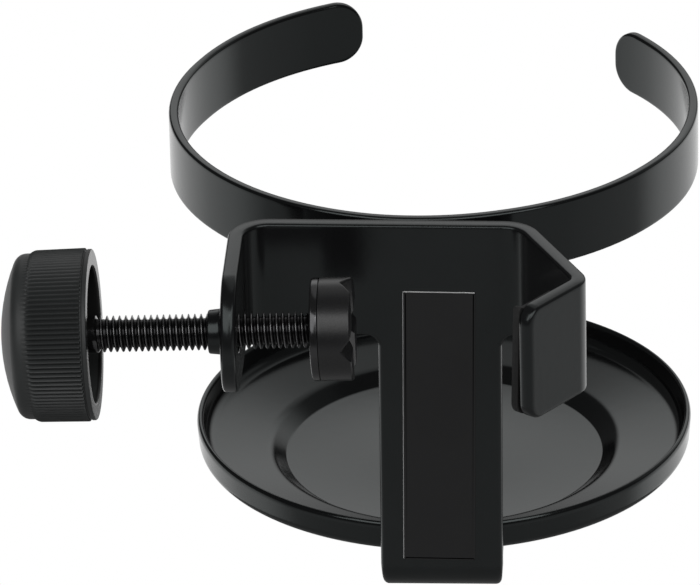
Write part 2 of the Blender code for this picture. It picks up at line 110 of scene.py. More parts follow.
# Bare label on the tongue
LABEL_W = 11.8
LABEL_H = 49.0
LABEL_T = 0.12
LABEL_R = 0.25
LABEL_EDGE = 0.03
LABEL_SLANT = 0.15
LABEL_FRONT_FACING = 0.9
# Label faces turned up and left by more than this, its slanted edges, get a pale painted highlight
LABEL_HIGHLIGHT_FACING = 0.3
LABEL_TURN = math.radians(0.79)
LABEL_X = -0.36
LABEL_Y = -2.57
LABEL_Z = 31.45

# Rubber liner on the jaw's front leg
LINER_T = 1.3
LINER_START = 4.6
LINER_INSET = 0.2
LINER_TOP_INSET = 1.0
LINER_LIFT = 1.3
LINER_CURL_X = 12.2
LINER_R = 2.5
LINER_CURL_R = 0.8
LINER_CORNER_R = 0.5
LINER_EDGE = 0.12
LINER_SHORT = 0.4
LINER_SKEW = 0.05
GLUE = 0.05

# Cup ring
RING_R = 43.75
RING_T = 1.6
RING_EDGE = 0.5
RING_H = 11.0
RING_X = -2.7
RING_Y = 44.05
RING_LEFT = math.radians(161.15)
RING_RIGHT = math.radians(136.15)
RING_TOP_R = 5.1
RING_FOOT_R = 4.3
RING_WAVE_AT = np.radians((-161, -130, -113, -60, -10, 18, 55, 75))
RING_WAVE = (0.3, 0.0, -0.25, 0.0, 0.03, 0.27, 0.25, 0.0)
RING_STEPS = 120

# Drip tray
TRAY_R = 41.5
TRAY_X = -1.7
TRAY_Y = 41.8
TRAY_Z = 2.8
TRAY_H = 8.75
TRAY_TILT = 0.0054
TRAY_FLOOR = 0.45
TRAY_SEGS = 180
DISC_R = 26.6
DISC_FLAT_R = 13.0
DISC_RISE = 0.45
DISC_EDGE = 0.5
CONE_R = 29.2
CONE_TOP = 2.9
CONE_FILLET = 3.0
SHELF_TOP = 4.7
SHELF_FILLET = 2.0
TRAY_DRAFT = 0.35
RIM_T = 1.1
RIM_ROUND = 0.9
UNDER_R = 26.6
UNDER_FILLET = 1.6
UNDER_CONE = 1.85
UNDER_CONE_FILLET = 1.0
UNDER_SHELF = 3.35
UNDER_CORNER_R = 1.69

# Places along the screw, from the ear's inner face
KNOB_APEX_X = -37.85
KNOB_RIM_X = -23.1
SHANK_X = -22.05
THREAD_END_X = 11.35
WASHER_X = 11.65
WASHER_T = 1.25
PAD_R = 8.25
SADDLE_X = 12.95
SADDLE_FACE_X = 18.15
BUTTON_X = 14.45
HEAD_X = -30.75
HEAD_T = 4.0
HEAD_FLATS = 10.0
HEAD_CLEAR = 0.3
SHANK_R = 2.95
SHANK_CHAMFER = 0.5
THREAD_PHASE = 0.17
THREAD_ROOT_R = 2.2
THREAD_AT = (0, 0.22, 0.28, 0.53, 0.59, 0.66, 0.72, 0.97, 1)
THREAD_R = (2.2, 2.2, 2.26, 2.87, 2.93, 2.93, 2.87, 2.24, 2.2)
# Thread faces beyond this radius, the crests, are painted paler as a highlight
CREST_HIGHLIGHT_FROM_R = 2.72
# Thread faces within this radius, the roots, are painted darker as shade
ROOT_SHADE_TO_R = 2.45
RUNOUT_L = 1.6
RUNOUT_R = 2.45
NECK_R = 2.0
BUTTON_R = 3.0
BUTTON_T = 1.0
NECK_EDGE = 0.1
BUTTON_EDGE = 0.3
KNOB_DRAFT = math.radians(1.0)
KNOB_R = 13.2
KNOB_DOME_R = 30.3
KNOB_BLEND_R = 1.9
KNOB_INNER_R = 10.95
KNOB_ASKEW = 0.0087
KNOB_MID_X = -30.0
KNOB_DROP = 0.1
KNOB_FLOOR_X = -32.75
KNOB_FLOOR_FILLET = 0.6
KNOB_BRIM = 0.27
# Knob faces turned towards the ear by more than this, the rim's open face, are painted darker as shade
KNOB_RIM_SHADE_FACING = 0.8
RIB_COUNT = 108
RIB_STEPS = 8
RIB_START = 9.8
RIB_STOP = 0.95
RIB_H = 0.65
RIB_SINK = 0.14
RIB_STEEP = 1.25
RIB_FOOT = 0.12
RIB_FLAT = 0.92
RIB_FADE_IN = 1.1
RIB_FADE_OUT = 0.22
BOSS_X = -27.25
BOSS_R = 7.67
BOSS_BORE_R = 3.25
BOSS_EDGE = 0.4
POCKET_X = -28.45
POCKET_FLOOR_X = -33.05

# Swivel pad
WASHER_BORE_R = 2.3
WASHER_EDGE = 0.35
PAD_EDGE = 0.12
BORE_EDGE = 0.15
SOCKET_X = 14.15
SOCKET_DEPTH = 1.6
SOCKET_R = 3.3
SOCKET_MOUTH_R = 2.3
SADDLE_BAND = 2.6
SADDLE_EDGE = 0.4
UPRIGHT_GROOVE_D = 1.6
UPRIGHT_GROOVE_HALF = 2.5
CROSS_GROOVE_D = 1.5
CROSS_GROOVE_HALF = 2.0
SADDLE_SEGS = 256

# Camera at the photograph's angle
CAMERA_AZ = math.radians(3.5)
CAMERA_EL = math.radians(26.6)
CAMERA_ROLL = math.radians(-1.3)
CAMERA_TARGET = np.array((-14.49, 0.0, 54.47))
CAMERA_DISTANCE = 1.3
CAMERA_LENS = 414.7

# Broad drift of every finish
DRIFT_MM = 9.0

# Cool cast of the coatings' shine
COOL = (0.9, 1.0, 0.99, 1.0)

# Studio, in metres and watts
FLOOR_R = 0.45
FLOOR_Z = -0.36
FLOOR_SEGS = 96
SOFTBOX_X = 0.371
SOFTBOX_Y = -0.67
SOFTBOX_Z = 0.643
SOFTBOX_SIZE = (0.75, 0.73)
SOFTBOX_POWER = 3.5


def linear(hex_colour):
    """Linear RGBA of an sRGB hex colour."""
    srgb = np.array([int(hex_colour[i:i + 2], 16) / 255 for i in (0, 2, 4)])
    rgb = np.where(srgb <= 0.04045, srgb / 12.92, ((srgb + 0.055) / 1.055) ** 2.4)
    return (*rgb.tolist(), 1.0)


def add_node(tree, kind, values=None, links=None, **settings):
    """New node with its settings, its input values and the outputs that feed its inputs."""
    made = tree.nodes.new(kind)
    for key, value in settings.items():
        setattr(made, key, value)
    for key, value in (values or {}).items():
        made.inputs[key].default_value = value
    for key, output in (links or {}).items():
        tree.links.new(output, made.inputs[key])
    return made


def coated(name, colours, roughness, peel_mm, peel_depth, grain_mm, grain_depth, **sockets):
    """Opaque finish: colour and roughness drift over a broad pattern, and two bumps of real size."""
    mat = bpy.data.materials.new(name)
    mat.use_nodes = True
    tree = mat.node_tree
    shader = tree.nodes["Principled BSDF"]
    for key, value in sockets.items():
        shader.inputs[key.replace("_", " ")].default_value = value
    coords = add_node(tree, "ShaderNodeTexCoord").outputs["Object"]
    drift = add_node(tree, "ShaderNodeTexNoise", {"Scale": 1 / (DRIFT_MM * MM), "Detail": 3.0},
                     {"Vector": coords})
    tint = add_node(tree, "ShaderNodeValToRGB", links={"Fac": drift.outputs["Fac"]})
    tint.color_ramp.elements[0].position = 0.35
    tint.color_ramp.elements[1].position = 0.65
    tint.color_ramp.elements[0].color = linear(colours[0])
    tint.color_ramp.elements[1].color = linear(colours[1])
    tree.links.new(tint.outputs["Color"], shader.inputs["Base Color"])
    grain = add_node(tree, "ShaderNodeTexNoise", {"Scale": 1 / (grain_mm * MM), "Detail": 2.0},
                     {"Vector": coords})
    gloss = add_node(tree, "ShaderNodeMapRange",
                     {"To Min": roughness[0], "To Max": roughness[1], "From Min": 0.3, "From Max": 0.7},
                     {"Value": grain.outputs["Fac"]})
    tree.links.new(gloss.outputs["Result"], shader.inputs["Roughness"])
    peel = add_node(tree, "ShaderNodeTexNoise", {"Scale": 1 / (peel_mm * MM), "Detail": 1.0},
                    {"Vector": coords})
    broad = add_node(tree, "ShaderNodeBump", {"Distance": peel_depth * MM},
                     {"Height": peel.outputs["Fac"]})
    fine = add_node(tree, "ShaderNodeBump", {"Distance": grain_depth * MM},
                    {"Height": grain.outputs["Fac"], "Normal": broad.outputs["Normal"]})
    tree.links.new(fine.outputs["Normal"], shader.inputs["Normal"])
    return mat


def grid_faces(rows, cols):
    """Quads between neighbours of a grid that is closed round its columns."""
    r, c = np.meshgrid(np.arange(rows - 1), np.arange(cols), indexing="ij")
    after = (c + 1) % cols
    quads = (r * cols + c, r * cols + after, (r + 1) * cols + after, (r + 1) * cols + c)
    return np.stack(quads, -1).reshape(-1, 4)


def on_plate(points):
    """World metres of points in plate millimetres."""
    return (points - POLE) * MM


def on_screw(points):
    """World metres of points along the leaning screw: x on its axis from the ear's inner face."""
    x, y, z = np.moveaxis(points, -1, 0)
    cos, sin = math.cos(SCREW_LEAN), math.sin(SCREW_LEAN)
    return on_plate(np.stack((x * cos - z * sin, y, x * sin + z * cos), -1) + SCREW_POINT)


def about_tray(points):
    """World metres of points turned about the tray's upright axis, its front a hair higher."""
    x, y, z = np.moveaxis(points, -1, 0)
    return on_plate(np.stack((TRAY_X + y, TRAY_Y + z, x - TRAY_TILT * z), -1))


def add_surface(bm, points, faces):
    """Adds a surface, one array of points and one of faces, to a mesh in the making."""
    mesh = bpy.data.meshes.new("surface")
    mesh.from_pydata(points.reshape(-1, 3).tolist(), [], faces.tolist())
    bm.from_mesh(mesh)
    bpy.data.meshes.remove(mesh)


def add_piece(name, points, faces, body, node, mat, sharp=40):
    """Closed piece that rides on a body and stands for a CAD node."""
    bm = bmesh.new()
    add_surface(bm, points, faces)
    bmesh.ops.remove_doubles(bm, verts=bm.verts, dist=1e-7)
    bmesh.ops.recalc_face_normals(bm, faces=bm.faces)
    return finish_piece(name, bm, body, node, mat, sharp)


def finish_piece(name, bm, body, node, mat, sharp=40):
    """Writes the mesh, shades it smooth up to a sharp angle, and hangs it on its body for its node."""
    mesh = bpy.data.meshes.new(name)
    bm.to_mesh(mesh)
    bm.free()
    mesh.shade_smooth()
    mesh.set_sharp_from_angle(angle=math.radians(sharp))
    mesh.materials.append(mat)
    obj = bpy.data.objects.new(name, mesh)
    bpy.context.scene.collection.objects.link(obj)
    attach(obj, body)
    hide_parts(node)
    return obj


def face_values(obj, name):
    """Centres or normals of a piece's faces, as one array."""
    values = np.empty(3 * len(obj.data.polygons), np.float32)
    obj.data.polygons.foreach_get(name, values)
    return values.reshape(-1, 3).astype(float)


def paint(obj, mats, index):
    """Adds finishes to a piece, whose first one is 0, and gives every face the one that its index names."""
    for mat in mats:
        obj.data.materials.append(mat)
    obj.data.polygons.foreach_set("material_index", index.astype(np.int32))
    obj.data.update()


def rounded(corners, segs=6, guard=0.3):
    """Line through corners (x, r, radius): each corner becomes an arc tangent to both its sides,
    and long sides get a point near each end so that they shade flat."""
    corners = np.asarray(corners, float)
    out = [corners[:1, :2]]
    for before, here, after in zip(corners, corners[1:], corners[2:]):
        p = here[:2]
        a = (before[:2] - p) / np.linalg.norm(before[:2] - p)
        b = (after[:2] - p) / np.linalg.norm(after[:2] - p)
        half = math.acos(np.clip(a @ b, -1, 1)) / 2
        if here[2] <= 0 or half > 1.5:
            out.append(p[None])
            continue
        centre = p + (a + b) / np.linalg.norm(a + b) * here[2] / math.sin(half)
        start = np.arctan2(*(p + a * here[2] / math.tan(half) - centre)[::-1])
        stop = np.arctan2(*(p + b * here[2] / math.tan(half) - centre)[::-1])
        sweep = (stop - start + math.pi) % (2 * math.pi) - math.pi
        angles = start + sweep * np.linspace(0, 1, segs + 1)
        out.append(centre + here[2] * np.stack((np.cos(angles), np.sin(angles)), -1))
    out.append(corners[-1:, :2])
    line = np.concatenate(out)
    step = np.diff(line, axis=0)
    length = np.linalg.norm(step, axis=1)
    long = np.flatnonzero(length > 4 * guard)
    near = step[long] / length[long, None] * guard
    extra = np.stack((line[long] + near, line[long + 1] - near), 1)
    return np.insert(line, np.repeat(long + 1, 2), extra.reshape(-1, 2), axis=0)


def turned(x, r, segs):
    """Surface of revolution: a point (x, r) goes round the x axis in equal steps; r may vary by angle."""
    a = np.linspace(0, 2 * math.pi, segs, endpoint=False)
    x = np.broadcast_to(np.reshape(x, (-1, 1)), (len(x), segs))
    r = np.broadcast_to(r if np.ndim(r) == 2 else np.reshape(r, (-1, 1)), x.shape)
    return np.stack((x, r * np.cos(a), r * np.sin(a)), -1)


def arc(cx, cy, radius, start, stop, inside=False, step=5):
    """Outline arc as rows (x, y, outward normal x, y); an inside arc is cut into the sheet."""
    a = np.radians(np.linspace(start, stop, int(abs(stop - start) / step) + 1))
    n = np.stack((np.cos(a), np.sin(a)), -1)
    return np.hstack((np.array((cx, cy)) + radius * n, -n if inside else n))


def blank(outline, thickness, edge, holes=(), inner_step=0.4):
    """Flat sheet with rounded edges: the outline moves in along its normals on a quarter circle at
    each face, one more step in keeps the face flat, and both faces are filled. The edge radius goes
    from its first value where the outline runs along the sheet to its second where it runs across."""
    a = np.linspace(0, math.pi / 2, 8)
    rise = np.concatenate(([0], 1 - np.cos(a), 1 + np.sin(a[1:]), [2]))
    pull = np.concatenate(([1], 1 - np.sin(a), 1 - np.cos(a[1:]), [1]))
    spare = np.where(np.arange(len(rise)) % (len(rise) - 1) == 0, inner_step, 0)
    bm = bmesh.new()
    caps = ([], [])
    for loop in (outline, *holes):
        r = edge[0] + (edge[1] - edge[0]) * loop[:, 2] ** 2
        inset = pull[:, None] * r + spare[:, None]
        flat = loop[None, :, :2] - inset[..., None] * loop[None, :, 2:]
        step = np.where(rise[:, None] > 1, thickness - 2 * r, 0)
        high = rise[:, None] * r + step - thickness / 2
        points = np.concatenate((flat, high[..., None]), -1)
        rows, cols = points.shape[:2]
        add_surface(bm, points, grid_faces(rows, cols))
        verts = bm.verts[-rows * cols:]
        for cap, ring in zip(caps, (verts[:cols], verts[-cols:])):
            cap.extend(bm.edges.get(pair) for pair in zip(ring[-1:] + ring, ring))
    for cap in caps:
        bmesh.ops.triangle_fill(bm, edges=cap, use_beauty=True)
    return bm


def cut_across(bm, axis, stations):
    """Splits every face at the stations, so that a bend has edges to turn on."""
    for at in stations:
        co, no = np.zeros(3), np.zeros(3)
        co[axis], no[axis] = at, 1
        bmesh.ops.bisect_plane(bm, geom=bm.verts[:] + bm.edges[:] + bm.faces[:], dist=1e-5,
                               plane_co=co, plane_no=no)


def bend_stations(start, stop, count, guard=0.3):
    """Even steps through a bend and one just outside each end."""
    way = math.copysign(guard, stop - start)
    return np.concatenate(([start - way], np.linspace(start, stop, count + 1), [stop + way]))


def shaped(bm, shape):
    """Moves every vertex by one array function of its flat place."""
    mesh = bpy.data.meshes.new("shaped")
    bm.to_mesh(mesh)
    flat = np.empty(3 * len(mesh.vertices), np.float32)
    mesh.vertices.foreach_get("co", flat)
    place = shape(flat.reshape(-1, 3).astype(float))
    mesh.vertices.foreach_set("co", place.ravel().astype(np.float32))
    bm.clear()
    bm.from_mesh(mesh)
    bpy.data.meshes.remove(mesh)
    bmesh.ops.recalc_face_normals(bm, faces=bm.faces)


def aim_camera():
    """Camera that looks along its azimuth and elevation at its target, rolled about that line."""
    cam = bpy.data.cameras.new("photo_camera")
    cam.lens = CAMERA_LENS
    cam.sensor_width = 36
    obj = bpy.data.objects.new("photo_camera", cam)
    bpy.context.scene.collection.objects.link(obj)
    sin_az, cos_az = math.sin(CAMERA_AZ), math.cos(CAMERA_AZ)
    sin_el, cos_el = math.sin(CAMERA_EL), math.cos(CAMERA_EL)
    back = np.array((sin_az * cos_el, -cos_az * cos_el, sin_el))
    side = np.array((cos_az, sin_az, 0))
    rise = np.array((-sin_az * sin_el, cos_az * sin_el, cos_el))
    cos, sin = math.cos(CAMERA_ROLL), math.sin(CAMERA_ROLL)
    matrix = np.eye(4)
    matrix[:3, 0] = cos * side + sin * rise
    matrix[:3, 1] = -sin * side + cos * rise
    matrix[:3, 2] = back
    matrix[:3, 3] = on_plate(CAMERA_TARGET) + CAMERA_DISTANCE * back
    obj.matrix_world = matrix.T.tolist()
    bpy.context.scene.camera = obj


def fold_bracket(flat):
    """Blank (s, z, n) to bracket: the mid-line's heading turns evenly through each bend, its place is
    the sum of its steps, and n is the distance to its left; the foot turns about an axis along X. The
    tongue leans, and the plate's top edge and the foot sit a hair higher, as on the real piece."""
    s, z, n = flat.T
    runs = (EAR_RUN, EAR_BEND_RUN, JAW_X - JAW_TAN_1 - EAR_BEND_X, MID_R * JAW_TURN_1,
            JAW_LEG_1 - JAW_TAN_1 - JAW_TAN_2, APEX_MID_R * JAW_TURN_2, JAW_LEG_2 - JAW_TAN_2)
    turns = (0, math.pi / 2, 0, JAW_TURN_1, 0, JAW_TURN_2, 0)
    at = np.concatenate(([0], np.cumsum(runs))) + EAR_BEND_X - EAR_RUN - EAR_BEND_RUN
    heading = math.pi / 2 - np.concatenate(([0], np.cumsum(turns)))
    fine = np.linspace(at[0], at[-1], 40001)
    way = np.interp((fine[1:] + fine[:-1]) / 2, at, heading)
    step = np.diff(fine)
    x = EAR_MID_X + np.concatenate(([0], np.cumsum(np.cos(way) * step)))
    y = EAR_END_Y + np.concatenate(([0], np.cumsum(np.sin(way) * step)))
    turn = np.interp(s, at, heading)
    across = np.interp(s, fine, x) - n * np.sin(turn)
    across = across - TONGUE_LEAN * np.clip(PLATE_Z - z, 0, PLATE_Z)
    lift = PLATE_LIFT + PLATE_TILT * (PLATE_PIVOT_X - across)
    z = z + lift * np.clip((z - SCREW_Z) / END_R, 0, 1)
    upper = np.stack((across, np.interp(s, fine, y) + n * np.cos(turn), z), -1)
    a = np.clip((BEND_Z - z) / FOOT_MID_R, 0, math.pi / 2)
    run = np.maximum(BEND_Z - FOOT_MID_R * math.pi / 2 - z, 0)
    deep = FOOT_BEND_R - (FOOT_MID_R - n) * np.cos(a) + run
    lower = np.stack((across, deep, BEND_Z - (FOOT_MID_R - n) * np.sin(a)), -1)
    place = np.where((z < BEND_Z)[:, None], lower, upper)
    place[:, 2] += FOOT_LIFT * np.clip((PLATE_Z - z) / PLATE_Z, 0, 1)
    return on_plate(place)


def make_bracket(mat):
    """Plate, ear, V-jaw, tongue and foot from one blank, with the drawn collar on the ear."""
    foot_top = BEND_Z - FOOT_MID_R * math.pi / 2
    foot_r = FOOT_W / 2
    half = TONGUE_W / 2
    start = EAR_BEND_X - EAR_BEND_RUN - EAR_RUN
    jaw = JAW_X - JAW_TAN_1
    leg = jaw + MID_R * JAW_TURN_1
    apex = leg + JAW_LEG_1 - JAW_TAN_1 - JAW_TAN_2
    leg_2 = apex + APEX_MID_R * JAW_TURN_2
    stop = leg_2 + JAW_LEG_2 - JAW_TAN_2
    sides = [np.array(((-half, BEND_Z, -1, 0), (-foot_r, foot_top, -1, 0))),
             np.array(((foot_r, foot_top, 1, 0), (half, BEND_Z, 1, 0)))]
    outline = np.concatenate((
        arc(start + END_R, SCREW_Z, END_R, 90, 270),
        arc(-half - NOTCH_R, PLATE_Z - NOTCH_R, NOTCH_R, 90, 0, inside=True),
        sides[0], arc(0, foot_top - FOOT_L + foot_r, foot_r, 180, 360), sides[1],
        arc(half + NOTCH_R, PLATE_Z - NOTCH_R, NOTCH_R, 180, 90, inside=True),
        arc(stop - TIP_R, PLATE_Z + TIP_R, TIP_R, 270, 360),
        arc(stop - TIP_R, PLATE_TOP - TIP_R, TIP_R, 0, 90)))
    bore = arc(start + END_R, SCREW_Z, BORE_R, 0, 350, inside=True, step=10)
    bm = blank(outline, SHEET_T, (SHEET_EDGE, SIDE_EDGE), [bore])
    cut_across(bm, 0, bend_stations(EAR_BEND_X, EAR_BEND_X - EAR_BEND_RUN, 14))
    cut_across(bm, 0, bend_stations(jaw, leg, 11))
    cut_across(bm, 0, bend_stations(apex, leg_2, 11))
    cut_across(bm, 1, bend_stations(BEND_Z, foot_top, 14))
    shaped(bm, fold_bracket)
    profile = rounded((
        (COLLAR_ROOT_X, COLLAR_ROOT_R, 0), (COLLAR_ROOT_X, COLLAR_FLANGE_R, 0),
        (COLLAR_FACE_X, COLLAR_FLANGE_R, 0), (COLLAR_FACE_X - 0.05, COLLAR_BASE_R, COLLAR_FLARE_R),
        (COLLAR_END_X, COLLAR_END_R, COLLAR_EDGE), (COLLAR_END_X, BORE_R, COLLAR_MOUTH),
        (COLLAR_FACE_X - 0.1, BORE_R, 0), (COLLAR_ROOT_X, COLLAR_ROOT_R, 0)))
    collar = on_screw(turned(profile[:, 0], profile[:, 1], COLLAR_SEGS))
    sheet_verts, sheet_faces = len(bm.verts), len(bm.faces)
    add_surface(bm, collar, grid_faces(len(profile), COLLAR_SEGS))
    bmesh.ops.remove_doubles(bm, verts=bm.verts[sheet_verts:], dist=1e-7)
    bmesh.ops.recalc_face_normals(bm, faces=bm.faces[sheet_faces:])
    return finish_piece("bent_bracket", bm, "bracket", "clamp_bracket", mat)


def make_ring(mat):
    """Round-ended strip rolled to a circle: length along it becomes angle, thickness becomes radius, and
    its height waves a little round the turn, as rolled strip does."""
    mid = RING_R - RING_T / 2
    end = RING_H / 2
    z = PLATE_TOP - end
    lo, hi = -RING_LEFT * mid, RING_RIGHT * mid
    top, foot = z + end - RING_TOP_R, z - end + RING_FOOT_R
    outline = np.concatenate((arc(lo + RING_TOP_R, top, RING_TOP_R, 90, 180),
                              arc(lo + RING_FOOT_R, foot, RING_FOOT_R, 180, 270),
                              arc(hi - RING_FOOT_R, foot, RING_FOOT_R, -90, 0),
                              arc(hi - RING_TOP_R, top, RING_TOP_R, 0, 90)))
    bm = blank(outline, RING_T, (RING_EDGE, RING_EDGE))
    cut_across(bm, 0, np.linspace(lo, hi, RING_STEPS)[1:-1])

    def roll(flat):
        """Flat strip (s, h, n) to ring: s / r is the angle, n goes inwards."""
        s, h, n = flat.T
        turn, r = s / mid, mid - n
        high = h + np.interp(turn, RING_WAVE_AT, RING_WAVE)
        return on_plate(np.stack((RING_X + r * np.sin(turn), RING_Y - r * np.cos(turn), high), -1))

    shaped(bm, roll)
    return finish_piece("rolled_ring", bm, "bracket", "cup_ring", mat)


def make_tray(mat):
    """Drawn dish: one rounded profile, under the disc, up the drafted wall, over the rim's half ellipse,
    down to the sloping shelf and the cone, and into the slightly dished disc, turned."""
    foot = TRAY_R - TRAY_DRAFT
    inner = foot - RIM_T
    shelf, floor = TRAY_Z + UNDER_SHELF, TRAY_Z + TRAY_FLOOR
    a = np.linspace(0, math.pi, 17)
    rim = np.stack((TRAY_Z + TRAY_H - RIM_ROUND * (1 - np.sin(a)),
                    TRAY_R - RIM_T / 2 * (1 - np.cos(a)), 0 * a), -1)
    dip = np.linspace(0.85, 0, 12)
    dish = np.stack((floor + DISC_RISE * dip ** 2, DISC_FLAT_R + (DISC_R - DISC_FLAT_R) * dip, 0 * dip), -1)
    profile = rounded((
        (TRAY_Z, 0, 0), (TRAY_Z, UNDER_R, UNDER_FILLET), (TRAY_Z + UNDER_CONE, CONE_R, UNDER_CONE_FILLET),
        (shelf, foot - UNDER_CORNER_R - 0.01, 0), (shelf, foot, UNDER_CORNER_R), *rim,
        (TRAY_Z + SHELF_TOP, inner, SHELF_FILLET), (TRAY_Z + CONE_TOP, CONE_R, CONE_FILLET),
        (floor + DISC_RISE, DISC_R, DISC_EDGE), *dish, (floor, 0, 0)), segs=8)
    points = about_tray(turned(profile[:, 0], profile[:, 1], TRAY_SEGS))
    return add_piece("drawn_tray", points, grid_faces(len(profile), TRAY_SEGS), "bracket", "drip_tray",
                     mat)


def make_label(mat, highlight_edge_mat):
    """Bare label: a thin slab on the tongue's front, stuck on a hair askew. Its left side and
    top are cut at a slant, and those slanted edges carry a pale painted highlight."""
    half_w, half_h = LABEL_W / 2, LABEL_H / 2
    x, z, r = half_w - LABEL_R, half_h - LABEL_R, LABEL_R
    outline = np.concatenate((arc(x, z, r, 0, 90, step=30), arc(-x, z, r, 90, 180, step=30),
                              arc(-x, -z, r, 180, 270, step=30), arc(x, -z, r, 270, 360, step=30)))
    bm = blank(outline, LABEL_T, (LABEL_EDGE, LABEL_EDGE))

    def stick(flat):
        """Flat film to label: turned in its own plane, its left side and top sheared by its thickness."""
        across, high, n = flat.T
        slant = LABEL_SLANT * (n / LABEL_T + 0.5)
        across, high = across + slant * (across < 0), high - slant * (high > 0)
        cos, sin = math.cos(LABEL_TURN), math.sin(LABEL_TURN)
        place = (LABEL_X + across * cos + high * sin, LABEL_Y - n, LABEL_Z + high * cos - across * sin)
        return on_plate(np.stack(place, -1))

    shaped(bm, stick)
    obj = finish_piece("bare_label", bm, "bracket", "front_label", mat)
    x, y, z = face_values(obj, "normal").T
    # The slanted top and left edges take a pale painted highlight
    paint(obj, [highlight_edge_mat], (y > -LABEL_FRONT_FACING) & (z - x > LABEL_HIGHLIGHT_FACING))
    return obj


def make_liner(mat):
    """Rubber slab on the inner face of the jaw's front leg: its outline is laid along the leg, its free
    end a little askew with its upper corner curled up, and its thickness goes inwards from the leg."""
    heading = -math.pi / 2 - JAW_ANGLE_2
    along = np.array((math.cos(heading), math.sin(heading)))
    inward = np.array((math.sin(heading), -math.cos(heading)))
    apex = np.array((JAW_X + JAW_LEG_1 * math.sin(JAW_ANGLE_1),
                     -SHEET_T / 2 - JAW_LEG_1 * math.cos(JAW_ANGLE_1)))
    lo, hi = PLATE_Z + LINER_INSET, PLATE_TOP - LINER_TOP_INSET
    end = JAW_LEG_2 - LINER_SHORT - LINER_R
    curl_end = end + LINER_R - LINER_CURL_R
    r = LINER_CORNER_R
    outline = np.concatenate((
        arc(LINER_START + r, hi - r, r, 90, 180), arc(LINER_START + r, lo + r, r, 180, 270),
        arc(end, lo + LINER_R, LINER_R, 270, 360), arc(curl_end, hi - LINER_CURL_R, LINER_CURL_R, 0, 90),
        np.array(((LINER_CURL_X, hi, 0, 1),))))
    bm = blank(outline, LINER_T, (LINER_EDGE, LINER_EDGE))

    def lay(flat):
        """Flat slab to liner: its run goes along the leg, its thickness inwards, and its corner lifts."""
        run, z, n = flat.T
        curl = np.clip((run - LINER_CURL_X) / (JAW_LEG_2 - LINER_CURL_X), 0, 1)
        run = run + LINER_SKEW * (SCREW_Z - z) * run / JAW_LEG_2
        z = z + LINER_LIFT * curl * np.clip((z - SCREW_Z) / END_R, 0, 1)
        off = SHEET_T / 2 + GLUE + LINER_T / 2 + n
        place = apex + run[:, None] * along + off[:, None] * inward
        return on_plate(np.concatenate((place, z[:, None]), 1))

    shaped(bm, lay)
    return finish_piece("rubber_liner", bm, "bracket", "jaw_liner", mat)


def hexagon(a, flats):
    """Radius of a hexagon of that width across its flats, a corner at angle 0."""
    return flats / 2 / np.cos(np.mod(a, math.pi / 3) - math.pi / 6)


def make_screw(mat, crest_highlight_mat, root_shade_mat):
    """Radius over length and angle: hexagon head, shank, thread ridge that climbs one pitch a turn,
    chamfered ends, neck and button."""
    segs = 48
    a = np.linspace(0, 2 * math.pi, segs, endpoint=False)
    x = np.arange(SHANK_X - SHANK_CHAMFER, THREAD_END_X, 0.05)
    climb = np.mod((x[:, None] - THREAD_PHASE) - a / (2 * math.pi), 1)
    ridge = np.interp(climb, THREAD_AT, THREAD_R)
    end = THREAD_ROOT_R + (THREAD_END_X - x)
    start = np.where(x < SHANK_X, SHANK_R - np.maximum(x - SHANK_X + SHANK_CHAMFER, 0), SHANK_R)
    runout = np.clip((x - SHANK_X) / RUNOUT_L, 0, 1)
    low = RUNOUT_R + (THREAD_ROOT_R - RUNOUT_R) * runout
    thread = np.maximum(np.minimum(np.minimum(ridge, end[:, None]), start[:, None]),
                        np.minimum(low, start)[:, None])
    head_lo, head_hi = HEAD_X - HEAD_T / 2, HEAD_X + HEAD_T / 2
    hexa = hexagon(a, HEAD_FLATS)
    shank = 0 * a + SHANK_R
    rows = [(head_lo, 0 * a), (head_lo, hexa), (head_hi, hexa), (head_hi, shank),
            (SHANK_X - 1.2, shank), (SHANK_X - 0.8, shank)]
    tip = BUTTON_X + BUTTON_T
    tail = rounded((
        (THREAD_END_X, THREAD_ROOT_R, 0), (THREAD_END_X, NECK_R, NECK_EDGE), (BUTTON_X, NECK_R, NECK_EDGE),
        (BUTTON_X, BUTTON_R, 0.2), (tip, BUTTON_R, BUTTON_EDGE), (tip, 0, 0)), segs=4)
    along = np.concatenate(([row[0] for row in rows], x, tail[:, 0]))
    radius = np.concatenate((np.stack([row[1] for row in rows]), thread, np.repeat(tail[:, 1:], segs, 1)))
    points = on_screw(turned(along, radius, segs))
    obj = add_piece("threaded_screw", points, grid_faces(len(along), segs), "thumbscrew", "clamp_screw",
                    mat)
    x, y, z = (face_values(obj, "center") / MM + POLE - SCREW_POINT).T
    r = np.hypot(y, z * math.cos(SCREW_LEAN) - x * math.sin(SCREW_LEAN))
    threaded = (x > SHANK_X) & (x < THREAD_END_X)
    # Crests painted paler as a highlight, roots painted darker as shade
    paint(obj, [crest_highlight_mat, root_shade_mat], threaded * ((r > CREST_HIGHLIGHT_FROM_R) + 2 * (r < ROOT_SHADE_TO_R)))
    return obj


